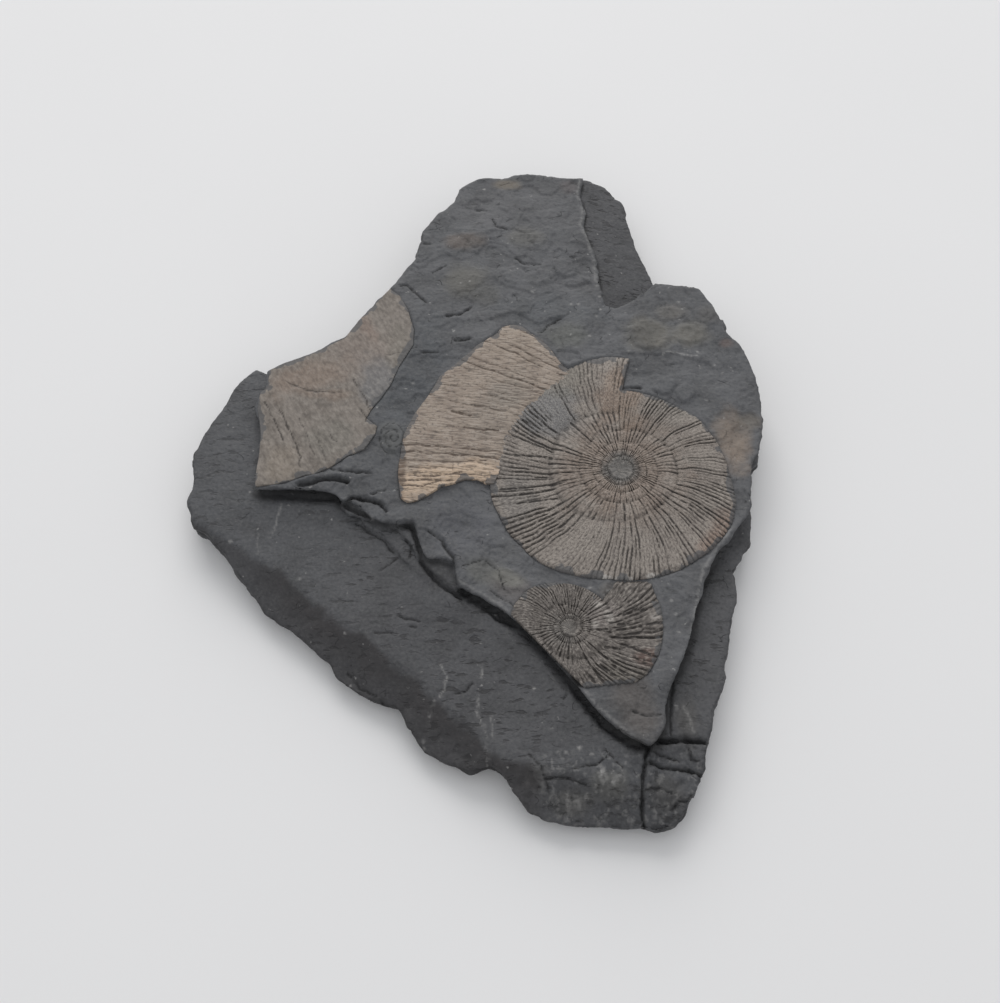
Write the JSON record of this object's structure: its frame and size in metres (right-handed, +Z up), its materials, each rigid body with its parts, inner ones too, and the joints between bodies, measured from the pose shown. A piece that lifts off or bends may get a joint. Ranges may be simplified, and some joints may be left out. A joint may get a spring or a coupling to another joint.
{
  "type": "ammonite fossil",
  "caption": "Loose slab of dark laminated shale with flattened ribbed ammonites exposed on its broken upper bedding plane.",
  "frame": {"origin": "on the ground plane under the middle of the slab's outline", "axes": "+Z up out of the fossil-bearing face, +Y along the slab's longest side towards its blunt upper end, +X to the right"},
  "size_m": [0.148, 0.1914, 0.015],
  "materials": {
    "dark_shale": "dull split shale",
    "brown_shell_film": "dull ribbed shell film",
    "tan_shell": "dull ribbed shell",
    "grey_brown_shell_film": "dull thin shell film"
  },
  "bodies": {
    "root": {"shale_slab": "dark_shale", "large_ammonite": "brown_shell_film", "small_ammonite": "brown_shell_film", "middle_shell_piece": "tan_shell", "left_shell_piece": "grey_brown_shell_film"}
  },
  "joints": []
}
